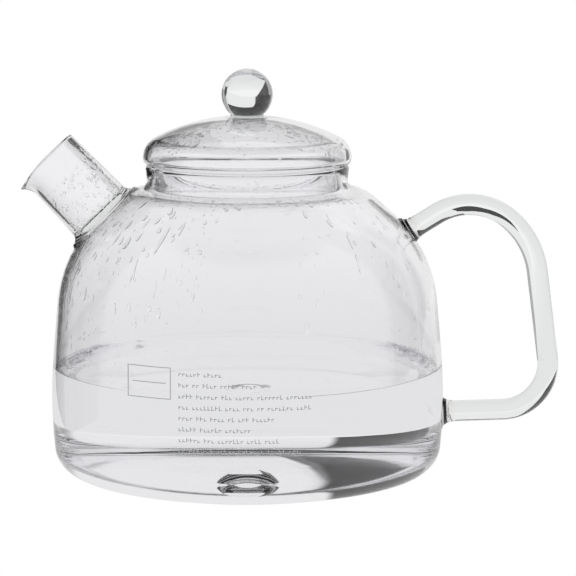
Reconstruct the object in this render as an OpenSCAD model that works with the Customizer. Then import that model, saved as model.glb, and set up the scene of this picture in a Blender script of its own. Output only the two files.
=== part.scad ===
// Glass teapot: a blown vessel with a tube spout and a bent rod handle, and a lift-off lid.
// Millimetres. The origin is the middle of the foot, +Z is up, the spout points to -X and
// the handle to +X.

/* [Vessel] */
// Radius of the flat foot
foot_r = 56; // [52:0.5:58]
// Thickness of the side wall
wall_t = 2.1; // [1.8:0.1:2.6]
// Thickness of the floor
floor_t = 3.2; // [2.8:0.1:4]
// Slope of the underside between foot and corner, in degrees
foot_slope = 13.5; // [12:0.5:15]
// Radius of the rounded bottom corner
corner_r = 11; // [9:0.5:13]
// Radius of the slow curve up the lower wall
belly_r = 211; // [190:1:230]
// Length of the straight stretch above the belly
side_len = 21; // [18:0.5:23]
// Radius of the shoulder
shoulder_r = 53.6; // [52:0.1:55]
// Length of the straight slope above the shoulder
slope_len = 10; // [9:0.5:11]
// Radius of the crest between the slope and the neck
crest_r = 16.5; // [14:0.5:18]
// Radius of the hollow curve into the neck
neck_fillet_r = 3.3; // [3:0.1:4]
// Height of the neck above that curve
neck_h = 4.3; // [4:0.1:5]
// Radius of the boss in the middle of the floor
nub_r = 9.5; // [7:0.5:12]
// Height of the boss above the floor
nub_h = 5.5; // [3:0.5:6]
// Radius of the shallow hollow under the boss
nub_hollow_r = 6.5; // [5:0.5:8]
// Depth of the shallow hollow under the boss
nub_hollow_h = 2.4; // [1:0.1:2.4]

/* [Spout] */
// Outer radius of the tube where it leaves the vessel
spout_root_r = 14.1; // [13:0.1:15]
// Outer radius of the tube at the mouth
spout_mouth_r = 13.3; // [12.5:0.1:13.5]
// Wall thickness of the tube
spout_wall_t = 1.8; // [1.5:0.1:2.2]
// Length of the tube from the vessel's wall to the mouth
spout_len = 33.2; // [28:0.1:36]
// Rise of the tube above level, in degrees
spout_rise = 46.6; // [44:0.1:50]
// How far the pouring lip stands out from the tube
lip_out = 3.9; // [2:0.1:4]
// Length of tube over which the lip flares
lip_len = 9.5; // [8:0.5:12]
// How far the lip's tip hangs back from the mouth
lip_droop = 2.4; // [0:0.1:3]

/* [Handle] */
// Radius of the handle rod
rod_r = 4.3; // [4:0.1:5]
// Radius of the tight bend at the top
top_bend_r = 25; // [24:0.5:26]
// Radius of the slow bend after it
back_bend_r = 34; // [33:0.5:35]
// Radius of the bottom bend
low_bend_r = 19; // [18:0.5:20]

/* [Lid] */
// Widest radius of the lid
lid_r = 42.3; // [42:0.1:43.5]
// Wall thickness of the lid
lid_wall_t = 2; // [1.7:0.1:2.2]
// Outer radius of the collar inside the neck
collar_r = 37.7; // [36:0.1:37.8]
// Depth of the collar below the lid's seat
collar_len = 11; // [8:0.5:13]
// Radius of the ball knob
knob_r = 10.4; // [9.5:0.1:11]

/* [Fit and finish] */
// Gap between the lid's seat and the rim of the neck
seat_gap = 0.3; // [0.2:0.05:0.5]
// Thickness of the printed marks
print_t = 0.2; // [0.15:0.05:0.3]
// Smoothness of full circles
$fn = 96; // [48:8:128]

/* [Hidden] */

turn_step = 3.5;          // degrees of arc to one straight facet
trim_fn = 256;            // smoothness of the form that trims the fused pieces
corner_turn = 71;         // turns of the vessel's outline, in degrees
belly_turn = 10.5;
shoulder_turn = 44;
crest_turn = 25.5;
crest_land = 2;           // short straight stretch before the neck
neck_lean = 84;           // heading of the neck, which leans out a little
neck_turn = neck_lean - foot_slope - corner_turn - belly_turn - shoulder_turn - crest_turn;

spout_root = [-58.5, 107.5];   // where the spout's axis crosses the vessel's wall
spout_sides = 48;              // facets round the tube
rod_sides = 24;                // and round the handle rod
spout_sunk = 9;                // tube behind the wall, before it is trimmed
spout_plain = 4;               // length of tube before its taper starts
spout_weld_h = 3.6;            // height of the fused bead up the tube
spout_weld_out = 3;            // and along the wall

handle_start = [60.5, 98, 32];  // x, z and heading of the rod, inside the shoulder
handle_moves = [[19.4, 0], [top_bend_r, -72.5], [back_bend_r, -42.2], [36, 0],
    [low_bend_r, -95.5], [27, 0]];
handle_end = along_all(handle_start, handle_moves);

lid_edge_r = 3.2;         // rolled underside of the lid's edge
lid_crown_r = 9;          // rounded top of the lid's edge
lid_crown_turn = 63;
plug_r = 6;               // hole in the dome that the knob's foot closes
knob_z = 156.8;            // centre of the ball
knob_cut = 8;             // the ball is flat this far below its centre
knob_flare = 2;           // how far the foot spreads on the dome

row_pitch = 4.25;         // printed rows
row_h = 1.7;
row_top = 56.5;
row_x = -25.5;
row_lengths = [27, 42, 49, 58, 38, 33, 44, 56];
symbol_x = -37;           // middle of the fill-level symbol
symbol_z = 45.5;          // its base line
symbol_w = 17;
symbol_h = 12;
stroke = 0.8;

// A move is [length, 0] for a straight run, or [radius, turn] for an arc; a left turn is positive.
function along(p, move, k = 1) =
    let (s = sign(move[1]), h = p[2] + k * move[1])
    move[1] == 0
        ? [p[0] + k * move[0] * cos(p[2]), p[1] + k * move[0] * sin(p[2]), p[2]]
        : [p[0] + s * move[0] * (sin(h) - sin(p[2])), p[1] - s * move[0] * (cos(h) - cos(p[2])), h];

function along_all(p, moves, i = 0) =
    i == len(moves) ? p : along_all(along(p, moves[i]), moves, i + 1);

// Every point [x, z, heading] of an outline drawn by moves from p.
function trail(p, moves, i = 0) =
    i == len(moves) ? [p] :
    let (n = max(1, ceil(abs(moves[i][1]) / turn_step)))
    concat([for (k = [0:n - 1]) along(p, moves[i], k / n)],
        trail(along(p, moves[i]), moves, i + 1));

// The same outline moved to its left by t.
function inset(path, t) = [for (p = path) [p[0] - t * sin(p[2]), p[1] + t * cos(p[2]), p[2]]];

function flat(path) = [for (p = path) [p[0], p[1]]];

function backwards(list) = [for (i = [len(list) - 1:-1:0]) list[i]];

outline = trail([foot_r, 0, foot_slope], [[15, 0], [corner_r, corner_turn], [belly_r, belly_turn],
    [side_len, 0], [shoulder_r, shoulder_turn], [slope_len, 0], [crest_r, crest_turn],
    [crest_land, 0], [neck_fillet_r, neck_turn], [neck_h, 0]]);
rim = outline[len(outline) - 1];
rim_z = rim[1] + wall_t / 2;
hollow = inset(outline, wall_t);
floor_r = foot_r - wall_t * sin(foot_slope)
    + (floor_t - wall_t * cos(foot_slope)) / tan(foot_slope);
hollow_points = concat([[0, floor_t], [floor_r, floor_t]],
    [for (p = flat(hollow)) if (p[1] > floor_t + 0.5) p]);

seat_z = rim_z + seat_gap;
lid_start = [collar_r - lid_wall_t, seat_z, 0];
lid_moves = [[lid_r - lid_edge_r - lid_start[0], 0], [lid_edge_r, 90], [lid_crown_r, lid_crown_turn]];
lid_shoulder = along_all(lid_start, lid_moves);
dome_r = lid_shoulder[0] / sin(90 - lid_crown_turn);
lid_outline = trail(lid_start, concat(lid_moves, [[dome_r, 90 - lid_crown_turn]]));
lid_top = lid_outline[len(lid_outline) - 1][1];

// The vessel as if it were solid glass, to trim what is fused to it.
module vessel_solid() {
    rotate_extrude($fn = trim_fn) polygon(concat([[0, 0]], flat(outline), [[0, rim[1]]]));
}

// The space inside the vessel, up to the rim.
module vessel_hollow() {
    rotate_extrude() polygon(concat(hollow_points, [[0, hollow[len(hollow) - 1][1]]]));
}

// Places children with +Z along the spout's axis, from where it crosses the wall.
module on_spout() {
    translate([spout_root[0], 0, spout_root[1]]) rotate([0, spout_rise - 90, 0]) children();
}

// A bead of fused glass round a rod or tube along +Z, hollow-curved from the wall up to it.
module weld_bead(r, out, h, sunk) {
    curve = [for (a = [0:10:90]) [r + out * (1 - sin(a)), h * (1 - cos(a))]];
    rotate_extrude() polygon(concat([[r, -sunk], [r + out, -sunk]], curve));
}

module vessel_body() {
    bead = [for (p = trail(rim, [[wall_t / 2, 180]])) [p[0], p[1]]];
    under_r = (nub_hollow_r * nub_hollow_r + nub_hollow_h * nub_hollow_h) / (2 * nub_hollow_h);
    color([0.85, 0.9, 0.92, 0.5]) difference() {
        rotate_extrude()
            polygon(concat([[0, 0]], flat(outline), bead, backwards(hollow_points)));
        on_spout() translate([0, 0, -spout_sunk]) cylinder(r = spout_root_r, h = 2 * spout_sunk);
        translate([0, 0, nub_hollow_h - under_r]) sphere(r = under_r);
    }
}

module base_nub() {
    ball_r = (nub_r * nub_r + nub_h * nub_h) / (2 * nub_h);
    color([0.7, 0.8, 0.85, 0.8]) intersection() {
        translate([0, 0, floor_t + nub_h - ball_r]) sphere(r = ball_r);
        translate([0, 0, floor_t]) cylinder(r = nub_r + 1, h = nub_h + 1);
    }
}

// A tube or rod of rings, each a list of points; hollow rings come back down inside it.
module ringed_solid(rings, closed = false) {
    n = len(rings[0]);
    last = len(rings) - 1;
    quads = [for (j = [0:closed ? last : last - 1], i = [0:n - 1])
        let (next = (j + 1) % len(rings), side = (i + 1) % n)
        [j * n + i, next * n + i, next * n + side, j * n + side]];
    sides = [for (q = quads, t = [[q[0], q[1], q[2]], [q[0], q[2], q[3]]]) t];
    ends = closed ? [] : [[for (i = [0:n - 1]) i], [for (i = [n - 1:-1:0]) last * n + i]];
    polyhedron(points = [for (ring = rings, p = ring) p], faces = concat(sides, ends));
}

// How far the lip has flared at height z up the spout, and at angle a from its lower side.
function lip_share(z, a) =
    pow(max(0, z - spout_len + lip_len) / lip_len, 2) * pow(max(0, cos(a)), 3);

function spout_outer(z, a) =
    let (taper = max(0, z - spout_plain) / (spout_len - spout_plain))
    spout_root_r + (spout_mouth_r - spout_root_r) * taper + lip_out * lip_share(z, a);

function spout_ring(z, thickness) = [for (i = [0:spout_sides - 1])
    let (a = i * 360 / spout_sides, r = spout_outer(z, a) - thickness)
    [-r * cos(a), r * sin(a), z - lip_droop * lip_share(z, a)]];

module spout() {
    lip_steps = 5;
    stations = concat([-spout_sunk, spout_plain],
        [for (k = [0:lip_steps]) spout_len - lip_len * (1 - k / lip_steps)]);
    rings = concat([for (z = stations) spout_ring(z, 0)],
        [for (z = backwards(stations)) spout_ring(z, spout_wall_t)]);
    color([0.8, 0.88, 0.92, 0.6]) difference() {
        on_spout() ringed_solid(rings, closed = true);
        vessel_hollow();
    }
}

module spout_weld() {
    color([0.7, 0.82, 0.8, 0.8]) difference() {
        on_spout() weld_bead(spout_root_r, spout_weld_out, spout_weld_h, 4);
        vessel_solid();
    }
}

// A ring of the handle rod, square to its heading.
function rod_ring(p) = [for (i = [0:rod_sides - 1])
    let (a = i * 360 / rod_sides, up = rod_r * cos(a))
    [p[0] - up * sin(p[2]), rod_r * sin(a), p[1] + up * cos(p[2])]];

module handle_rod() {
    color([0.75, 0.85, 0.9, 0.8]) difference() {
        ringed_solid([for (p = trail(handle_start, handle_moves)) rod_ring(p)]);
        vessel_solid();
    }
}

module handle_upper_weld() {
    color([0.7, 0.82, 0.8, 0.8]) difference() {
        translate([handle_start[0], 0, handle_start[1]]) rotate([0, 90 - handle_start[2], 0])
            translate([0, 0, 6.4]) weld_bead(rod_r, 1.6, 5.2, 6);
        vessel_solid();
    }
}

module handle_lower_weld() {
    color([0.7, 0.82, 0.8, 0.8]) difference() {
        translate([handle_end[0], 0, handle_end[1]]) rotate([0, -90 - handle_end[2], 0])
            translate([0, 0, 2]) weld_bead(rod_r, 3.2, 5.5, 6);
        vessel_solid();
    }
}

// A stroke of print, seen from the front, as a slab that the print's skin cuts to the wall.
module stroke_slab(x, z, w, h) {
    translate([x, -foot_r - 40, z]) cube([w, foot_r + 20, h]);
}

module fill_symbol() {
    difference() {
        stroke_slab(symbol_x - symbol_w / 2, symbol_z, symbol_w, symbol_h);
        stroke_slab(symbol_x - symbol_w / 2 + stroke, symbol_z + stroke,
            symbol_w - 2 * stroke, symbol_h - 2 * stroke);
    }
    stroke_slab(symbol_x - symbol_w / 2 + stroke, symbol_z + symbol_h / 2, symbol_w - 2 * stroke, stroke);
}

module fill_mark() {
    wall = [for (p = outline) if (p[1] > 15 && p[1] < 75) p];
    skin = concat(flat(wall), backwards(flat(inset(wall, -print_t))));
    color([0.55, 0.55, 0.57]) intersection() {
        rotate_extrude() polygon(skin);
        union() {
            for (i = [0:len(row_lengths) - 1])
                stroke_slab(row_x, row_top - i * row_pitch - row_h, row_lengths[i], row_h);
            fill_symbol();
        }
    }
}

module dome_shell() {
    inner = inset(lid_outline, lid_wall_t);
    rotate_extrude() difference() {
        polygon(concat(flat(lid_outline), backwards(flat(inner))));
        translate([0, seat_z]) square([plug_r, 2 * lid_top - 2 * seat_z]);
    }
}

module lid_dome() {
    color([0.85, 0.9, 0.92, 0.5]) dome_shell();
}

module lid_collar() {
    color([0.8, 0.88, 0.9, 0.6]) translate([0, 0, seat_z - collar_len]) difference() {
        cylinder(r = collar_r, h = collar_len);
        translate([0, 0, -1]) cylinder(r = collar_r - lid_wall_t, h = collar_len + 2);
    }
}

module lid_knob() {
    color([0.75, 0.85, 0.9, 0.9]) translate([0, 0, knob_z]) difference() {
        sphere(r = knob_r);
        translate([0, 0, -2 * knob_r]) cylinder(r = knob_r, h = 2 * knob_r - knob_cut);
    }
}

module knob_weld() {
    top_z = knob_z - knob_cut;
    top_r = sqrt(knob_r * knob_r - knob_cut * knob_cut);
    low_z = lid_top - lid_wall_t;
    color([0.7, 0.82, 0.8, 0.9]) difference() {
        rotate_extrude() polygon([[0, low_z], [plug_r, low_z], [plug_r, low_z + lid_wall_t / 2],
            [top_r + knob_flare, low_z + lid_wall_t / 2], [top_r + knob_flare, lid_top - 0.8],
            [top_r + 0.4, top_z - 0.1], [top_r, top_z], [0, top_z]]);
        dome_shell();
    }
}

vessel_body();
base_nub();
spout();
spout_weld();
handle_rod();
handle_upper_weld();
handle_lower_weld();
fill_mark();
lid_dome();
lid_collar();
lid_knob();
knob_weld();
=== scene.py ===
import math
import random

import bpy
from mathutils import Matrix, Vector


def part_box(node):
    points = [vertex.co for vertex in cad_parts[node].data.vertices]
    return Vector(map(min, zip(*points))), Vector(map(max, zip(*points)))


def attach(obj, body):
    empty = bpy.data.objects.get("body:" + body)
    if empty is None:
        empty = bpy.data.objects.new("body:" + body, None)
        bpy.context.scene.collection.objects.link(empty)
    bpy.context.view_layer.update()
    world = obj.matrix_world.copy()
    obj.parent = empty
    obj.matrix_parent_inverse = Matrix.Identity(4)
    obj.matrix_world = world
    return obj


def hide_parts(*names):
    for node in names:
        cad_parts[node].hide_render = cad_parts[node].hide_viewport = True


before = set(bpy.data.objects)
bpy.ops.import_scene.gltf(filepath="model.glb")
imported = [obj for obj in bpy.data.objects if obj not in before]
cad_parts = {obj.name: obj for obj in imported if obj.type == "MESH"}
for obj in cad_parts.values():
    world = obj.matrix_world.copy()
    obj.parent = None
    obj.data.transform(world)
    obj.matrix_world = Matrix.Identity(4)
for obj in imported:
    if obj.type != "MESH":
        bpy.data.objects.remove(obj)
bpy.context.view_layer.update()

mm = 0.001
print("frame loaded")


# ---- small helpers ----

def deselectAll():
    if bpy.context.object and bpy.context.object.mode != "OBJECT":
        bpy.ops.object.mode_set(mode="OBJECT")
    bpy.ops.object.select_all(action="DESELECT")


def pick(piece):
    deselectAll()
    piece.select_set(True)
    bpy.context.view_layer.objects.active = piece


def putAt(piece, place):
    # the place goes into the mesh, so the object stays at the origin
    piece.data.transform(place)
    piece.data.update()


def smooth(piece, degrees=35):
    pick(piece)
    bpy.ops.object.shade_smooth_by_angle(angle=math.radians(degrees))


def finishMesh(piece):
    pick(piece)
    bpy.ops.object.mode_set(mode="EDIT")
    bpy.ops.mesh.select_all(action="SELECT")
    bpy.ops.mesh.remove_doubles(threshold=0.001 * mm)
    bpy.ops.mesh.normals_make_consistent(inside=False)
    bpy.ops.object.mode_set(mode="OBJECT")


def along(point, move, share=1.0):
    # one move from (x, z, heading): (length, 0) goes straight, (radius, turn) bends, left is plus
    x, z, heading = point
    size, turn = move
    start, end = math.radians(heading), math.radians(heading + share * turn)
    if turn == 0:
        return (x + share * size * math.cos(start), z + share * size * math.sin(start), heading)
    side = math.copysign(1, turn)
    return (x + side * size * (math.sin(end) - math.sin(start)),
            z - side * size * (math.cos(end) - math.cos(start)), heading + share * turn)


def trail(point, moves, step):
    points = [point]
    for move in moves:
        count = max(1, math.ceil(abs(move[1]) / step))
        points += [along(point, move, (k + 1) / count) for k in range(count)]
        point = points[-1]
    return points


def inset(points, distance):
    return [(x - distance * math.sin(math.radians(h)), z + distance * math.cos(math.radians(h)), h)
            for x, z, h in points]


def flat(points):
    return [(p[0], p[1]) for p in points]


def drawLine(name, points):
    # a vertex extruded from point to point in the XZ plane, in millimetres
    deselectAll()
    bpy.ops.mesh.primitive_plane_add(size=mm, location=(0, 0, 0))
    line = bpy.context.object
    line.name = name
    bpy.ops.object.mode_set(mode="EDIT")
    bpy.ops.mesh.select_all(action="SELECT")
    bpy.ops.mesh.merge(type="CENTER")
    places = [Vector((x, 0, z)) * mm for x, z in points]
    bpy.ops.transform.translate(value=places[0])
    for before, after in zip(places, places[1:]):
        bpy.ops.mesh.extrude_region_move(TRANSFORM_OT_translate={"value": after - before})
    bpy.ops.mesh.select_all(action="SELECT")
    bpy.ops.mesh.remove_doubles(threshold=0.001 * mm)
    return line


def revolve(name, points, steps):
    line = drawLine(name, points)
    bpy.ops.mesh.spin(steps=steps, angle=2 * math.pi, center=(0, 0, 0), axis=(0, 0, 1))
    bpy.ops.object.mode_set(mode="OBJECT")
    finishMesh(line)
    return line


def paint(piece, materials, choose=None):
    piece.data.materials.clear()
    for material in materials:
        piece.data.materials.append(material)
    for face in piece.data.polygons:
        face.material_index = choose(face.center / mm, face.normal) if choose else 0


def copyOf(piece, name):
    twin = piece.copy()
    twin.data = piece.data.copy()
    twin.name = name
    bpy.context.collection.objects.link(twin)
    return twin


def carve(piece, cutter, operation):
    # cut faces take the cutter's own material
    pick(piece)
    cut = piece.modifiers.new("cut", "BOOLEAN")
    cut.object = cutter
    cut.operation = operation
    cut.solver = "EXACT"
    cut.material_mode = "TRANSFER"
    bpy.ops.object.modifier_apply(modifier="cut")


def join(pieces, name):
    deselectAll()
    for piece in pieces:
        piece.select_set(True)
    bpy.context.view_layer.objects.active = pieces[0]
    bpy.ops.object.join()
    pieces[0].name = name
    return pieces[0]


def remove(*pieces):
    for piece in pieces:
        bpy.data.objects.remove(piece)


# ---- materials ----

def linear(hexColour):
    channels = [int(hexColour[i:i + 2], 16) / 255 for i in (1, 3, 5)]
    return tuple(c / 12.92 if c <= 0.04045 else ((c + 0.055) / 1.055) ** 2.4 for c in channels) + (1,)


def addNode(material, kind, settings=None, links=None):
    node = material.node_tree.nodes.new(kind)
    for key, value in (settings or {}).items():
        if isinstance(key, int) or key in node.inputs:
            node.inputs[key].default_value = value
        else:
            setattr(node, key, value)
    for key, source in (links or {}).items():
        material.node_tree.links.new(source, node.inputs[key])
    return node


def newMaterial(name):
    material = bpy.data.materials.new(name)
    material.use_nodes = True
    material.node_tree.nodes.clear()
    return material


glassIor = 1.473      # borosilicate glass
waterIor = 1.333


def clearGlass(name, ior, colour, ripple=0.0, rippleSize=12.0, roughness=0.0):
    # blown glass: the surface keeps a slow ripple from the mould and the flame
    material = newMaterial(name)
    links = {}
    if ripple:
        place = addNode(material, "ShaderNodeTexCoord")
        waves = addNode(material, "ShaderNodeTexNoise",
                        {"Scale": 1 / (rippleSize * mm), "Detail": 2.0, "Roughness": 0.4},
                        {"Vector": place.outputs["Object"]})
        bump = addNode(material, "ShaderNodeBump", {"Strength": 1.0, "Distance": ripple * mm},
                       {"Height": waves.outputs["Fac"]})
        links["Normal"] = bump.outputs["Normal"]
    shader = addNode(material, "ShaderNodeBsdfPrincipled",
                     {"Base Color": linear(colour), "Roughness": roughness, "IOR": ior,
                      "Transmission Weight": 1.0}, links)
    addNode(material, "ShaderNodeOutputMaterial", None, {"Surface": shader.outputs["BSDF"]})
    return material


def mistedGlass(name, size, depth, stretch):
    # the steam side of the wall: a film of water with slow runs, in patches
    material = newMaterial(name)
    place = addNode(material, "ShaderNodeTexCoord")
    scaled = addNode(material, "ShaderNodeMapping", {"Scale": (1, 1, 1 / stretch)},
                     {"Vector": place.outputs["Object"]})
    film = addNode(material, "ShaderNodeTexNoise",
                   {"Scale": 1 / (size * mm), "Detail": 3.0, "Roughness": 0.55},
                   {"Vector": scaled.outputs["Vector"]})
    patches = addNode(material, "ShaderNodeTexNoise", {"Scale": 1 / (34 * mm), "Detail": 1.0},
                      {"Vector": place.outputs["Object"]})
    spread = addNode(material, "ShaderNodeMapRange", {"From Min": 0.42, "From Max": 0.62},
                     {"Value": patches.outputs["Fac"]})
    height = addNode(material, "ShaderNodeMath", {"operation": "MULTIPLY"},
                     {0: film.outputs["Fac"], 1: spread.outputs["Result"]})
    bump = addNode(material, "ShaderNodeBump", {"Strength": 1.0, "Distance": depth * mm},
                   {"Height": height.outputs["Value"]})
    shader = addNode(material, "ShaderNodeBsdfPrincipled",
                     {"Base Color": linear("#fcfcfd"), "Roughness": 0.0, "IOR": glassIor,
                      "Transmission Weight": 1.0}, {"Normal": bump.outputs["Normal"]})
    addNode(material, "ShaderNodeOutputMaterial", None, {"Surface": shader.outputs["BSDF"]})
    return material


def openSeam(name):
    # where two pieces of one glass are melted together nothing reflects or bends
    material = newMaterial(name)
    shader = addNode(material, "ShaderNodeBsdfPrincipled",
                     {"Base Color": linear("#ffffff"), "Alpha": 0.0})
    addNode(material, "ShaderNodeOutputMaterial", None, {"Surface": shader.outputs["BSDF"]})
    return material



blownGlass = clearGlass("blownBorosilicate", glassIor, "#fcfcfd", ripple=0.02, rippleSize=14)
drawnGlass = clearGlass("drawnBorosilicateRod", glassIor, "#fbfcfc", ripple=0.012, rippleSize=9)
fusedGlass = clearGlass("flameFusedBorosilicate", glassIor, "#fafbf9", ripple=0.03, rippleSize=4)
wetGlass = clearGlass("borosilicateUnderWater", glassIor / waterIor, "#fdfdfe")
stillWater = clearGlass("stillWater", waterIor, "#fefeff")
dewWater = clearGlass("condensedWater", waterIor, "#ffffff")
steamedWall = mistedGlass("steamedBorosilicate", 2.2, 0.04, 2.5)
steamedSpout = mistedGlass("steamedSpoutBorosilicate", 2.6, 0.12, 1.0)
steamedLid = mistedGlass("steamedLidBorosilicate", 2.6, 0.03, 1.0)
seam = openSeam("fusedSeam")
wetSide = openSeam("waterAgainstGlass")


def firedEnamel(name, colour):
    # ceramic ink fired on: matt, thin, faintly speckled where the grains show
    material = newMaterial(name)
    place = addNode(material, "ShaderNodeTexCoord")
    grains = addNode(material, "ShaderNodeTexNoise", {"Scale": 1 / (0.35 * mm), "Detail": 3.0},
                     {"Vector": place.outputs["Object"]})
    tone = addNode(material, "ShaderNodeMix", {"data_type": "RGBA", 6: linear(colour),
                                               7: linear("#c6c8cb")}, {0: grains.outputs["Fac"]})
    bump = addNode(material, "ShaderNodeBump", {"Strength": 0.4, "Distance": 0.02 * mm},
                   {"Height": grains.outputs["Fac"]})
    shader = addNode(material, "ShaderNodeBsdfPrincipled", {"Roughness": 0.6},
                     {"Base Color": tone.outputs[2], "Normal": bump.outputs["Normal"]})
    addNode(material, "ShaderNodeOutputMaterial", None, {"Surface": shader.outputs["BSDF"]})
    return material


enamel = firedEnamel("firedCeramicPrint", "#a4a6aa")
print("materials made")


# ---- vessel ----

vesselFacts = {
    "footRadius": 56, "footSlope": 13.5, "wall": 2.1, "floor": 3.2,
    "moves": [(15, 0), (11, 71), (211, 10.5), (21, 0), (53.6, 44), (10, 0), (16.5, 25.5), (2, 0),
              (3.3, -80.5), (4.3, 0)],
    "arcStep": 1.6, "around": 192,
    "nubRadius": 9.5, "nubHeight": 5.5, "hollowRadius": 6.5, "hollowDepth": 2.4,
}
waterFacts = {"level": 45.9, "meniscusRise": 1.5, "meniscusReach": 1.6, "gap": 0.03}

outline = trail((vesselFacts["footRadius"], 0, vesselFacts["footSlope"]), vesselFacts["moves"],
                vesselFacts["arcStep"])
rimBead = trail(outline[-1], [(vesselFacts["wall"] / 2, 180)], 18)
innerWall = inset(outline, vesselFacts["wall"])
waterTop = waterFacts["level"] + waterFacts["meniscusRise"]


def withRingAt(points, height):
    # the same line with one more point where it crosses a height
    out = [points[0]]
    for before, after in zip(points, points[1:]):
        if (before[1] - height) * (after[1] - height) < 0:
            share = (height - before[1]) / (after[1] - before[1])
            out.append((before[0] + share * (after[0] - before[0]), height))
        out.append(after)
    return out


floorZ = vesselFacts["floor"]
innerLine = withRingAt([p for p in flat(innerWall) if p[1] > floorZ + 0.3], waterTop)
footTurn = math.radians(vesselFacts["footSlope"])
floorEdge = innerLine[0][0] - (innerLine[0][1] - floorZ) / math.tan(footTurn) - 2
floorLine = [(floorEdge, floorZ)]
nubRadius = vesselFacts["nubRadius"]
wallLine = floorLine + innerLine


def capLine(radius, height, base, count=14):
    # the arc of a shallow cap from its top in the middle down to its edge
    ball = (radius ** 2 + height ** 2) / (2 * height)
    reach = math.asin(radius / ball)
    turns = [reach * k / count for k in range(count + 1)]
    return [(ball * math.sin(a), base + height - ball + ball * math.cos(a)) for a in turns]


hollow = capLine(vesselFacts["hollowRadius"], vesselFacts["hollowDepth"], 0)
vesselLine = (hollow + [(hollow[-1][0] + 0.1, 0)] + flat(outline) + flat(rimBead[1:-1]) + wallLine[::-1]
              + [(nubRadius, floorZ), (0, floorZ)])
vessel = revolve("vesselBody", vesselLine, vesselFacts["around"])


def vesselFace(centre, normal):
    radius = math.hypot(centre.x, centre.y)
    inward = normal.z > 0 if radius < floorEdge else normal.x * centre.x + normal.y * centre.y < 0
    if centre.z < waterTop and inward and centre.z > floorZ - 0.1:
        return 1 if radius > nubRadius * 0.999 else 2
    return 3 if inward and centre.z < 122 else 0


paint(vessel, [blownGlass, wetGlass, seam, steamedWall], vesselFace)

# two plain forms that trim what is fused to the vessel: its outside, and the space inside
outerForm = revolve("outerForm", [(0, 0)] + flat(outline) + [(0, outline[-1][1])], vesselFacts["around"])
paint(outerForm, [seam])
hollowForm = revolve("hollowForm", [(0, floorZ)] + wallLine + [(0, innerLine[-1][1])],
                     vesselFacts["around"])
paint(hollowForm, [blownGlass])
print("vessel blown")


# ---- fused joints: a bead of glass round a tube or rod, melted into the wall ----

def beadLine(radius, out, height, depth):
    curve = [(radius + out * (1 - math.sin(a)), height * (1 - math.cos(a)))
             for a in (math.radians(6 * k) for k in range(16))]
    return [(0, -depth), (radius + out + depth * 0.7, -depth)] + curve + [(0, height)]


def fuse(name, facts, place, bored):
    # the bead outside the wall, and the plug of wall under it
    line = beadLine(facts["radius"], facts["out"], facts["height"], facts["depth"])
    outside = revolve(name, line, 96)
    putAt(outside, place)
    rod = revolve("rodForm", [(0, -30), (facts["radius"], -30), (facts["radius"], 30), (0, 30)], 96)
    putAt(rod, place)
    paint(rod, [seam])
    inWall = copyOf(outside, name + "InWall")
    bite = copyOf(outside, name + "Bite")
    paint(outside, [fusedGlass])
    paint(inWall, [seam])
    paint(bite, [seam])
    carve(outside, outerForm, "DIFFERENCE")
    carve(outside, rod, "DIFFERENCE")
    carve(inWall, outerForm, "INTERSECT")
    carve(inWall, hollowForm, "DIFFERENCE")
    if bored:
        carve(inWall, rod, "DIFFERENCE")
    carve(vessel, bite, "DIFFERENCE")
    remove(rod, bite)
    weld = join([outside, inWall], name)
    smooth(weld)
    return weld


# ---- spout ----

spoutFacts = {
    "root": (-58.5, 107.5), "rise": 46.6, "rootRadius": 14.1, "mouthRadius": 13.3, "wall": 1.8,
    "length": 33.2, "plain": 4, "lipOut": 3.9, "lipLength": 9.5, "lipDroop": 2.4, "sunk": 9,
    "radius": 14.1, "out": 3.0, "height": 3.6, "depth": 7,
}
spoutPlace = (Matrix.Translation(Vector((spoutFacts["root"][0], 0, spoutFacts["root"][1])) * mm)
              @ Matrix.Rotation(math.radians(spoutFacts["rise"] - 90), 4, "Y"))


def spoutRadius(z):
    share = max(0, z - spoutFacts["plain"]) / (spoutFacts["length"] - spoutFacts["plain"])
    return spoutFacts["rootRadius"] + (spoutFacts["mouthRadius"] - spoutFacts["rootRadius"]) * share


def makeSpout():
    length, wall = spoutFacts["length"], spoutFacts["wall"]
    levels = [-spoutFacts["sunk"], 0, spoutFacts["height"]] + [spoutFacts["height"] + 2.0 * k
                                                               for k in range(1, 9)]
    lipStart = length - spoutFacts["lipLength"]
    levels = [z for z in levels if z < lipStart] + [lipStart + spoutFacts["lipLength"] * k / 14
                                                    for k in range(14)]
    half = wall / 2
    edge = [(spoutRadius(length) - half + half * math.cos(a), length - half + half * math.sin(a))
            for a in (math.radians(15 * k) for k in range(13))]
    outer = [(spoutRadius(z), z) for z in levels if z < length - wall / 2]
    line = outer + edge + [(r - wall, z) for r, z in outer[::-1]] + [outer[0]]
    tube = revolve("spout", line, 96)
    for vertex in tube.data.vertices:  # the lip is drawn out and down on its lower side
        x, y, z = vertex.co / mm
        side = max(0, -x / math.hypot(x, y)) ** 3
        share = (max(0, z - lipStart) / spoutFacts["lipLength"]) ** 2 * side
        grow = 1 + spoutFacts["lipOut"] * share / math.hypot(x, y)
        vertex.co = Vector((x * grow, y * grow, z - spoutFacts["lipDroop"] * share)) * mm

    def spoutFace(centre, normal):
        if normal.x * centre.x + normal.y * centre.y < -0.5 * math.hypot(centre.x, centre.y):
            return 2
        return 1 if centre.z < spoutFacts["height"] else 0

    paint(tube, [blownGlass, seam, steamedSpout], spoutFace)
    putAt(tube, spoutPlace)
    inWall = copyOf(tube, "spoutInWall")
    carve(tube, outerForm, "DIFFERENCE")
    carve(inWall, outerForm, "INTERSECT")
    carve(inWall, hollowForm, "DIFFERENCE")
    whole = join([tube, inWall], "spoutTube")
    smooth(whole)
    return whole


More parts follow.
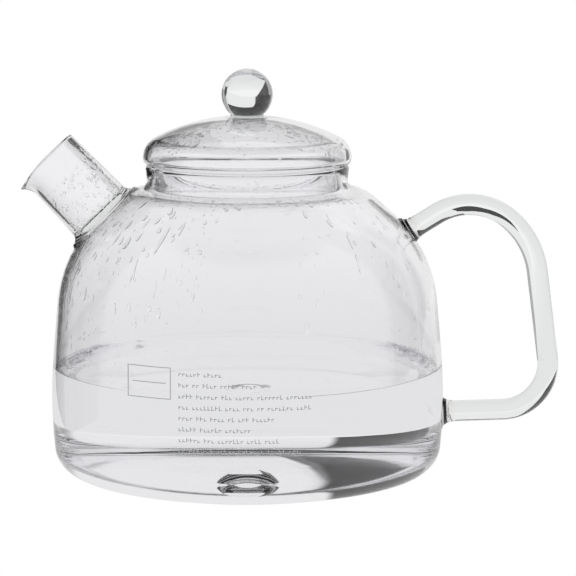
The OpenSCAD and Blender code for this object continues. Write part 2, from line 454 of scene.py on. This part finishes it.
spout = makeSpout()
spoutWeld = fuse("spoutWeld", spoutFacts, spoutPlace, True)
print("spout set in")


# ---- handle ----

handleFacts = {
    "start": (60.5, 98, 32), "radius": 4.3,
    "moves": [(19.4, 0), (25, -72.5), (34, -42.2), (36, 0), (19, -95.5), (27, 0)],
    "bendStep": 2.5, "sides": 64,
}
upperFacts = {"along": 6.4, "radius": 4.3, "out": 1.6, "height": 5.2, "depth": 5}
lowerFacts = {"along": 2.0, "radius": 4.3, "out": 3.2, "height": 5.5, "depth": 5}


def makeHandle():
    x, z, heading = handleFacts["start"]
    deselectAll()
    bpy.ops.mesh.primitive_circle_add(vertices=handleFacts["sides"], radius=handleFacts["radius"] * mm,
                                      fill_type="NOTHING", location=(x * mm, 0, z * mm),
                                      rotation=(0, math.radians(90 - heading), 0))
    rod = bpy.context.object
    rod.name = "handleRod"
    bpy.ops.object.transform_apply(location=True, rotation=True, scale=True)
    bpy.ops.object.mode_set(mode="EDIT")
    bpy.ops.mesh.select_all(action="SELECT")
    bpy.ops.mesh.edge_face_add()
    point = handleFacts["start"]
    for size, turn in handleFacts["moves"]:
        after = along(point, (size, turn))
        if turn == 0:
            step = Vector((after[0] - point[0], 0, after[1] - point[1])) * mm
            bpy.ops.mesh.extrude_region_move(TRANSFORM_OT_translate={"value": step})
        else:
            side = math.radians(point[2] - 90)
            centre = Vector((point[0] + size * math.cos(side), 0, point[1] + size * math.sin(side))) * mm
            steps = math.ceil(abs(turn) / handleFacts["bendStep"])
            bpy.ops.mesh.spin(steps=steps, angle=math.radians(turn), center=centre, axis=(0, 1, 0))
        point = after
    bpy.ops.object.mode_set(mode="OBJECT")
    finishMesh(rod)
    return rod, point


handle, handleEnd = makeHandle()


def handlePlace(point, distance, turn):
    heading = point[2] + turn
    shift = Vector((math.cos(math.radians(heading)), 0, math.sin(math.radians(heading)))) * distance * mm
    return (Matrix.Translation(Vector((point[0], 0, point[1])) * mm + shift)
            @ Matrix.Rotation(math.radians(90 - heading), 4, "Y"))


upperPlace = handlePlace(handleFacts["start"], upperFacts["along"], 0)
lowerPlace = handlePlace(handleEnd, lowerFacts["along"], 180)


def handleFace(centre, normal):
    # under a bead the rod's own skin is melted in
    for place, facts in ((upperPlace, upperFacts), (lowerPlace, lowerFacts)):
        local = place.inverted() @ (centre * mm) / mm
        if local.z < facts["height"] and math.hypot(local.x, local.y) < facts["radius"] + 1:
            return 1
    return 0


for place, facts in ((upperPlace, upperFacts), (lowerPlace, lowerFacts)):
    # a ring of edges where each bead ends on the rod
    pick(handle)
    bpy.ops.object.mode_set(mode="EDIT")
    bpy.ops.mesh.select_all(action="SELECT")
    bpy.ops.mesh.bisect(plane_co=place @ Vector((0, 0, facts["height"] * mm)),
                        plane_no=place.to_3x3() @ Vector((0, 0, 1)))
    bpy.ops.object.mode_set(mode="OBJECT")
paint(handle, [drawnGlass, seam], handleFace)
carve(handle, outerForm, "DIFFERENCE")
smooth(handle)
upperWeld = fuse("handleUpperWeld", upperFacts, upperPlace, False)
lowerWeld = fuse("handleLowerWeld", lowerFacts, lowerPlace, False)
smooth(vessel)
print("handle fused on")


# ---- boss in the floor, and the water ----

nubLine = capLine(nubRadius, vesselFacts["nubHeight"], floorZ)
nub = revolve("baseNub", nubLine + [(0, floorZ)], vesselFacts["around"])
paint(nub, [wetGlass, seam], lambda centre, normal: 1 if normal.z < -0.5 else 0)
smooth(nub)

gap = waterFacts["gap"]  # the water stops a hair short of the glass
contact = [(p[0] - gap, p[1] + gap) for p in wallLine if p[1] <= waterTop + 0.001]
edgeRadius = contact[-1][0]
surface = [(edgeRadius * (1 - (1 - k / 24) ** 3), 0) for k in range(25)]
surface = [(r, waterFacts["level"] + waterFacts["meniscusRise"]
            * math.exp(-(edgeRadius - r) / waterFacts["meniscusReach"])) for r, z in surface]
nubSide = [(x, z + gap) for x, z in nubLine]
water = revolve("waterFill", surface + contact[-2::-1] + nubSide[::-1], vesselFacts["around"])
paint(water, [stillWater, wetSide],
      lambda centre, normal: 0 if normal.z > 0.2 and centre.z > waterFacts["level"] - 0.5 else 1)
smooth(water)
print("water filled")


# ---- lid ----

lidFacts = {
    "seatZ": 128.17, "collarOuter": 37.7, "wall": 2.0, "collarLength": 11, "widest": 42.3,
    "edgeRadius": 3.2, "crownRadius": 9, "crownTurn": 63, "plug": 6,
    "knobRadius": 10.4, "knobZ": 156.8, "knobCut": 8, "flare": 2, "around": 192,
}
lidFacts["seatZ"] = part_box("lid_dome")[0].z / mm
bore = lidFacts["collarOuter"] - lidFacts["wall"]
lidMoves = [(lidFacts["widest"] - lidFacts["edgeRadius"] - bore, 0), (lidFacts["edgeRadius"], 90),
            (lidFacts["crownRadius"], lidFacts["crownTurn"])]
lidShoulder = trail((bore, lidFacts["seatZ"], 0), lidMoves, 90)[-1]
domeTurn = 90 - lidFacts["crownTurn"]
domeRadius = lidShoulder[0] / math.sin(math.radians(domeTurn))
lidOutline = trail((bore, lidFacts["seatZ"], 0), lidMoves + [(domeRadius, domeTurn)], 2)
lidTop = lidOutline[-1][1]
lidInner = inset(lidOutline, lidFacts["wall"])


def cutAtRadius(points, radius):
    # a dome's line kept from its edge to a radius
    kept = [p for p in flat(points) if p[0] > radius]
    last = [p for p in flat(points) if p[0] <= radius][0]
    share = (kept[-1][0] - radius) / (kept[-1][0] - last[0])
    return kept + [(radius, kept[-1][1] + share * (last[1] - kept[-1][1]))]


domeOuter = cutAtRadius(lidOutline, lidFacts["plug"])
domeInner = cutAtRadius(lidInner, lidFacts["plug"])
seatLine = [(bore, lidFacts["seatZ"]), (lidFacts["collarOuter"], lidFacts["seatZ"])]
dome = revolve("lidDome", seatLine + domeOuter[1:] + domeInner[::-1] + [seatLine[0]], lidFacts["around"])


def domeFace(centre, normal):
    radius = math.hypot(centre.x, centre.y)
    if radius < lidFacts["plug"] * 1.01 or (abs(centre.z - lidFacts["seatZ"]) < 0.02
                                            and radius < lidFacts["collarOuter"]):
        return 1
    inner = math.hypot(radius, centre.z - (lidTop - domeRadius)) < domeRadius - lidFacts["wall"] / 2
    return 2 if inner and centre.z > lidFacts["seatZ"] + 3 and normal.z < 0.3 else 0


paint(dome, [blownGlass, seam, steamedLid], domeFace)
smooth(dome)

seatZ, low = lidFacts["seatZ"], lidFacts["seatZ"] - lidFacts["collarLength"]
half = lidFacts["wall"] / 2
collarEnd = [(bore + half + half * math.cos(a), low + half + half * math.sin(a))
             for a in (math.radians(-18 * k) for k in range(11))]
collar = revolve("lidCollar", [(lidFacts["collarOuter"], seatZ)] + collarEnd + [(bore, seatZ),
                 (lidFacts["collarOuter"], seatZ)], lidFacts["around"])
paint(collar, [blownGlass, seam], lambda centre, normal: 1 if normal.z > 0.9 else 0)
smooth(collar)

knobR, knobZ, cut = lidFacts["knobRadius"], lidFacts["knobZ"], lidFacts["knobCut"]
cutTurn = math.acos(-cut / knobR)
knobLine = [(knobR * math.sin(cutTurn * k / 64), knobZ + knobR * math.cos(cutTurn * k / 64))
            for k in range(65)]
knob = revolve("lidKnob", knobLine + [(0, knobZ - cut)], 128)
paint(knob, [drawnGlass, seam], lambda centre, normal: 1 if centre.z < knobZ - cut + 0.01 else 0)
smooth(knob)

cutRadius = knobLine[-1][0]
footReach = cutRadius + lidFacts["flare"]
footZ = lidTop - domeRadius + math.sqrt(domeRadius ** 2 - footReach ** 2)
footLine = [(cutRadius + lidFacts["flare"] * (1 - math.sin(a)),
             footZ + (knobZ - cut - footZ) * (1 - math.cos(a)))
            for a in (math.radians(9 * k) for k in range(11))]
domeUnder = [(r, lidTop - domeRadius + math.sqrt(domeRadius ** 2 - r ** 2) - 0.001)
             for r in (lidFacts["plug"], (lidFacts["plug"] + footReach) / 2)]
knobWeld = revolve("knobWeld", [(0, lidTop - lidFacts["wall"]), domeInner[-1]] + domeUnder + footLine
                   + [(0, knobZ - cut)], 128)


def footFace(centre, normal):
    radius = math.hypot(centre.x, centre.y)
    if centre.z < lidTop - lidFacts["wall"] + 0.05:
        return 0
    if centre.z > knobZ - cut - 0.01 or radius < lidFacts["plug"] + 0.05 or normal.z < -0.5:
        return 1
    return 0


paint(knobWeld, [fusedGlass, seam], footFace)
smooth(knobWeld)
print("lid made")


# ---- print on the front wall ----

printFacts = {
    "rowX": -25.5, "rowTop": 56.5, "pitch": 4.25, "gap": 1.5,
    "block": 1.0, "blockGap": 0.45, "line": 0.32,
    "rows": [[6, 5], [3, 2, 4, 5, 4], [4, 6, 3, 5, 7, 7], [3, 8, 4, 3, 2, 7, 4], [4, 3, 4, 2, 3, 6],
             [5, 6, 7], [6, 3, 7, 4, 4], [2, 3, 3, 5, 7, 5, 3]],
    "frame": (-45.5, 45.5, 17, 12),
}


def addStrokes(strokes, name):
    # flat strokes in front of the vessel, pressed on to its wall
    parts = []
    for x, z, width, height in strokes:
        deselectAll()
        bpy.ops.mesh.primitive_grid_add(x_subdivisions=max(1, int(width / 1.5)),
                                        y_subdivisions=max(1, int(height / 1.5)),
                                        size=1, location=((x + width / 2) * mm, -0.1, (z + height / 2) * mm),
                                        rotation=(math.radians(90), 0, 0))
        part = bpy.context.object
        part.scale = (width * mm, height * mm, 1)
        bpy.ops.object.transform_apply(location=True, rotation=True, scale=True)
        parts.append(part)
    marks = join(parts, name)
    pick(marks)
    press = marks.modifiers.new("press", "SHRINKWRAP")
    press.target = outerForm
    press.wrap_method = "PROJECT"
    press.use_project_y = True
    press.use_positive_direction = True
    press.use_negative_direction = False
    press.offset = 0.03 * mm
    bpy.ops.object.modifier_apply(modifier="press")
    thicken = marks.modifiers.new("thicken", "SOLIDIFY")
    thicken.thickness = 0.08 * mm
    thicken.offset = 1
    bpy.ops.object.modifier_apply(modifier="thicken")
    finishMesh(marks)
    return marks


def printStrokes():
    # rows of plain blocks stand in for wording, and a frame with a level line for the filling mark
    strokes = []
    sizes = random.Random(4)
    for row, words in enumerate(printFacts["rows"]):
        x = printFacts["rowX"]
        z = printFacts["rowTop"] - row * printFacts["pitch"] - 1.7
        for word in words:
            for block in range(word):
                strokes.append((x, z, printFacts["line"], sizes.choice((1.1, 1.1, 1.7))))
                strokes.append((x, z + sizes.choice((0, 0.78)), printFacts["block"], printFacts["line"]))
                x += printFacts["block"] + printFacts["blockGap"]
            x += printFacts["gap"] - printFacts["blockGap"]
    left, base, width, height = printFacts["frame"]
    line = printFacts["line"]
    strokes += [(left, base, width, line), (left, base + height, width, line),
                (left, base, line, height), (left + width - line, base, line, height),
                (left + 2, base + height / 2, width - 4, line)]
    return strokes


fillMark = addStrokes(printStrokes(), "fillMark")
paint(fillMark, [enamel])
print("print fired on")


# ---- condensation on the steam side of the walls ----

dropFacts = {"sides": 8, "rings": 3, "flatness": 0.34, "clear": 0.03}


def makeDrop():
    # one low cap of water, its flat side down, radius 1 mm
    deselectAll()
    bpy.ops.mesh.primitive_circle_add(vertices=dropFacts["sides"], radius=mm, fill_type="NGON")
    drop = bpy.context.object
    bpy.ops.object.mode_set(mode="EDIT")
    bpy.ops.mesh.select_all(action="SELECT")
    reach, lift = 1.0, 0.0
    for k in range(1, dropFacts["rings"] + 1):
        angle = math.radians(90 * k / (dropFacts["rings"] + 0.6))
        size, height = math.cos(angle), math.sin(angle) * dropFacts["flatness"]
        bpy.ops.mesh.extrude_region_move(TRANSFORM_OT_translate={"value": (0, 0, (height - lift) * mm)})
        bpy.ops.transform.resize(value=(size / reach, size / reach, 1),
                                 center_override=(0, 0, height * mm))
        reach, lift = size, height
    bpy.ops.object.mode_set(mode="OBJECT")
    finishMesh(drop)
    smooth(drop, 80)
    return drop


def pointAt(line, share):
    # a point and its heading a share of the way along a line of points
    spans = [math.dist(a[:2], b[:2]) for a, b in zip(line, line[1:])]
    rest = share * sum(spans)
    for (a, b), span in zip(zip(line, line[1:]), spans):
        if rest <= span:
            break
        rest -= span
    part = rest / span
    heading = math.atan2(b[1] - a[1], b[0] - a[0])
    return a[0] + part * (b[0] - a[0]), a[1] + part * (b[1] - a[1]), heading


def dropPlace(line, share, turn, size, length, lean):
    # turn is measured round the axis from +X; the open side is left of the line
    x, z, heading = pointAt(line, share)
    down = Vector((-math.cos(heading), 0, -math.sin(heading)))
    out = Vector((-math.sin(heading), 0, math.cos(heading)))
    across = out.cross(down)
    frameAt = Matrix((down, across, out)).transposed().to_4x4()
    spot = Matrix.Translation((Vector((x, 0, z)) + out * dropFacts["clear"]) * mm)
    shape = Matrix.Rotation(lean, 4, "Z") @ Matrix.Diagonal((size * length, size, size, 1))
    return Matrix.Rotation(turn, 4, "Z") @ spot @ frameAt @ shape


def scatter(name, line, rows, base=Matrix()):
    drop = makeDrop()
    drops = []
    for number, row in enumerate(rows):
        place = base @ dropPlace(line, *row)
        twin = copyOf(drop, name + str(number))
        putAt(twin, place)
        drops.append(twin)
    remove(drop)
    whole = join(drops, name)
    paint(whole, [dewWater])
    return whole


chance = random.Random(11)


def fine(low, high):
    # mostly small, now and then a large one
    return low + (high - low) * chance.random() ** 2.5


def ringOf(count, low, high, shares, turns, length=(1.0, 1.3), lean=0.3):
    return [(chance.uniform(*shares), math.radians(chance.uniform(*turns)), fine(low, high),
             chance.uniform(*length), chance.uniform(-lean, lean)) for _ in range(count)]


steamLine = [p for p in flat(innerWall) if p[1] > waterTop + 1]
potRows = (ringOf(380, 0.3, 0.9, (0.80, 0.88), (0, 360))          # the band under the neck
           + ringOf(220, 0.3, 0.7, (0.88, 0.99), (0, 360))
           + ringOf(120, 0.35, 1.15, (0.25, 0.80), (166, 250), (1.2, 3.0), 0.25)   # left of the front
           + ringOf(10, 0.5, 0.9, (0.35, 0.75), (172, 245), (5.0, 9.0), 0.15)
           + ringOf(80, 0.3, 0.8, (0.03, 0.5), (176, 245), (1.0, 2.2), 0.3)
           + ringOf(34, 0.3, 0.8, (0.30, 0.80), (246, 258), (1.0, 2.2), 0.3)
           + ringOf(60, 0.3, 1.0, (0.2, 0.8), (285, 372), (1.0, 3.0), 0.2)
           + ringOf(8, 0.5, 0.8, (0.40, 0.75), (305, 368), (4.0, 7.0), 0.15)
           + ringOf(70, 0.3, 0.9, (0.2, 0.8), (20, 160), (1.0, 3.0), 0.3)
           + ringOf(70, 0.35, 0.9, (0.0, 0.03), (20, 160)))         # along the water's far edge
potDew = scatter("potCondensation", steamLine, potRows)

lidLine = lidInner[2:]
lidRows = (ringOf(230, 0.3, 1.1, (0.10, 0.60), (120, 236), (1.0, 2.6), 1.3)
           + ringOf(230, 0.3, 1.1, (0.10, 0.60), (-56, 60), (1.0, 2.6), 1.3)
           + ringOf(70, 0.3, 0.8, (0.10, 0.80), (60, 120), (1.0, 2.0), 1.3)
           + ringOf(40, 0.3, 0.8, (0.10, 0.90), (236, 304), (1.0, 1.6), 1.3)
           + ringOf(60, 0.3, 0.9, (0.70, 0.92), (120, 420), (1.0, 2.2), 1.3))
lidDew = scatter("lidCondensation", lidLine, lidRows)

spoutLine = [(spoutRadius(z) - spoutFacts["wall"], z) for z in (2, 12, 22)]
spoutRows = ringOf(190, 0.3, 1.0, (0.0, 1.0), (0, 360), (1.0, 2.2), 1.0)
spoutDew = scatter("spoutCondensation", spoutLine, spoutRows, spoutPlace)
print("condensation laid")


# ---- what rides on what ----

remove(outerForm, hollowForm)
ridesOn = {
    "pot": [(vessel, "clear_glass", ["vessel_body"]), (spout, "clear_glass", ["spout"]),
            (spoutWeld, "fused_glass", ["spout_weld"]), (handle, "solid_glass", ["handle_rod"]),
            (upperWeld, "fused_glass", ["handle_upper_weld"]),
            (lowerWeld, "fused_glass", ["handle_lower_weld"]), (nub, "solid_glass", ["base_nub"]),
            (fillMark, "print_enamel", ["fill_mark"]), (water, "clear_glass", []),
            (potDew, "clear_glass", []), (spoutDew, "clear_glass", [])],
    "lid": [(dome, "clear_glass", ["lid_dome"]), (collar, "clear_glass", ["lid_collar"]),
            (knob, "solid_glass", ["lid_knob"]), (knobWeld, "fused_glass", ["knob_weld"]),
            (lidDew, "clear_glass", [])],
}
for body, rows in ridesOn.items():
    for piece, slotName, nodes in rows:
        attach(piece, body)
        if nodes:
            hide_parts(*nodes)


# ---- studio ----

studioFacts = {
    "tone": 0.80, "farTone": 0.93, "near": 0.35, "far": 0.95,   # the paper is lit brighter at the back
    # corners of the paper on the table, x and y in metres
    "paper": [(0.6, -3), (0.6, 6), (-1.55, 6), (-0.15, 0.03), (-0.6, -0.3), (-0.6, -3)],
    "ceiling": {"from": 50, "to": 64, "tone": 0.12},
    # left, right, low, high in degrees seen from the middle, then tone and softness of the edges
    "patches": [(-13, 60, -90, 52, 0.84, 1), (-46, -13, -90, 90, 0.05, 1), (-56, -46, -90, 50, 0.35, 3),
                (-84, -56, -90, 90, 0.22, 3), (42, 54, -90, 40, 0.30, 5), (56, 84, -90, 90, 0.22, 3)],
    # corners of the black cards that stand behind the knob and the handle, x and z in millimetres; hidden
    # from the camera and from reflections, they put painted shade where the glass looks through to the dark
    # room
    "cards": [[(84, 187), (-18, 183), (-28, 167), (-36, 150), (-160, 150), (-160, 330), (84, 330)],
              [(82, 140), (84, 112), (94, 109), (108, 112), (120, 96), (132, 96), (128, 134),
               (112, 150), (92, 156)]],
    "cardBehind": 115,
}


def emit(material, value):
    # what the camera looks at directly stays plain white
    path = addNode(material, "ShaderNodeLightPath")
    seen = addNode(material, "ShaderNodeMath", {"operation": "MAXIMUM"},
                   {0: value, 1: path.outputs["Is Camera Ray"]})
    return seen.outputs["Value"]


def makeFloor():
    corners = [(x / mm, y / mm) for x, y in studioFacts["paper"]]
    floor = drawLine("paperSheet", corners + corners[:1])
    bpy.ops.mesh.edge_face_add()
    bpy.ops.object.mode_set(mode="OBJECT")
    putAt(floor, Matrix.Translation((0, 0, -0.05 * mm)) @ Matrix.Rotation(math.radians(-90), 4, "X"))
    material = newMaterial("whitePaper")
    spot = addNode(material, "ShaderNodeTexCoord")
    parts = addNode(material, "ShaderNodeSeparateXYZ", None, {"Vector": spot.outputs["Object"]})
    tone = addNode(material, "ShaderNodeMapRange",
                   {"From Min": studioFacts["near"], "From Max": studioFacts["far"],
                    "To Min": studioFacts["tone"], "To Max": studioFacts["farTone"]},
                   {"Value": parts.outputs["Y"]})
    glow = addNode(material, "ShaderNodeEmission", None,
                   {"Strength": emit(material, tone.outputs["Result"])})
    addNode(material, "ShaderNodeOutputMaterial", None, {"Surface": glow.outputs["Emission"]})
    floor.data.materials.append(material)


def makeCard(name, corners):
    card = drawLine(name, corners + corners[:1])
    bpy.ops.mesh.edge_face_add()
    bpy.ops.object.mode_set(mode="OBJECT")
    putAt(card, Matrix.Translation((0, studioFacts["cardBehind"] * mm, 0)))
    # a near-black sheet seen only through the glass: painted shade standing in for the dark room behind the
    # pot
    material = newMaterial(name + "PaintedShade")
    shader = addNode(material, "ShaderNodeBsdfPrincipled",
                     {"Base Color": linear("#151515"), "Roughness": 0.95})
    addNode(material, "ShaderNodeOutputMaterial", None, {"Surface": shader.outputs["BSDF"]})
    card.data.materials.append(material)
    card.visible_camera = False
    card.visible_glossy = False


def makeWorld():
    world = bpy.data.worlds.new("studioLight")
    world.use_nodes = True
    world.node_tree.nodes.clear()
    bpy.context.scene.world = world
    way = addNode(world, "ShaderNodeTexCoord")
    parts = addNode(world, "ShaderNodeSeparateXYZ", None, {"Vector": way.outputs["Generated"]})
    rise = addNode(world, "ShaderNodeMath", {"operation": "ARCSINE"}, {0: parts.outputs["Z"]})
    turn = addNode(world, "ShaderNodeMath", {"operation": "ARCTAN2"},
                   {0: parts.outputs["X"], 1: parts.outputs["Y"]})

    def ramp(source, low, high, start, end):
        return addNode(world, "ShaderNodeMapRange",
                       {"interpolation_type": "SMOOTHSTEP", "From Min": math.radians(low),
                        "From Max": math.radians(high), "To Min": start, "To Max": end},
                       {"Value": source.outputs["Value"]}).outputs["Result"]

    def product(first, second):
        return addNode(world, "ShaderNodeMath", {"operation": "MULTIPLY"},
                       {0: first, 1: second}).outputs["Value"]

    ceiling = studioFacts["ceiling"]
    tone = ramp(rise, ceiling["from"], ceiling["to"], studioFacts["tone"], ceiling["tone"])
    for left, right, low, high, level, soft in studioFacts["patches"]:
        across = product(ramp(turn, left - soft, left + soft, 0.0, 1.0),
                         ramp(turn, right - soft, right + soft, 1.0, 0.0))
        upward = product(ramp(rise, low - soft, low + soft, 0.0, 1.0),
                         ramp(rise, high - soft, high + soft, 1.0, 0.0))
        tone = addNode(world, "ShaderNodeMix", {"data_type": "FLOAT", 3: level},
                       {0: product(across, upward), 2: tone}).outputs[0]
    glow = addNode(world, "ShaderNodeBackground", {"Color": (1, 1, 1, 1)},
                   {"Strength": emit(world, tone)})
    addNode(world, "ShaderNodeOutputWorld", None, {"Surface": glow.outputs["Background"]})


makeFloor()
for name, corners in zip(("knobCard", "handleCard"), studioFacts["cards"]):
    makeCard(name, corners)
makeWorld()

cameraFacts = {"aim": (16.5, 0, 77.75), "pitch": 8.55, "distance": 1188.7, "lens": 182.2}


def makeCamera():
    pitch = math.radians(cameraFacts["pitch"])
    forward = Vector((0, math.cos(pitch), -math.sin(pitch)))
    deselectAll()
    bpy.ops.object.camera_add(location=(Vector(cameraFacts["aim"]) - forward * cameraFacts["distance"]) * mm,
                              rotation=(math.radians(90) - pitch, 0, 0))
    camera = bpy.context.object
    camera.data.lens = cameraFacts["lens"]
    camera.data.sensor_width = 36
    camera.data.clip_start = 0.01
    bpy.context.scene.camera = camera


makeCamera()
scene = bpy.context.scene
scene.view_settings.view_transform = "Standard"
scene.cycles.max_bounces = 32
scene.cycles.transmission_bounces = 32
scene.cycles.glossy_bounces = 16
scene.cycles.transparent_max_bounces = 48
print("studio set")

bpy.context.view_layer.update()
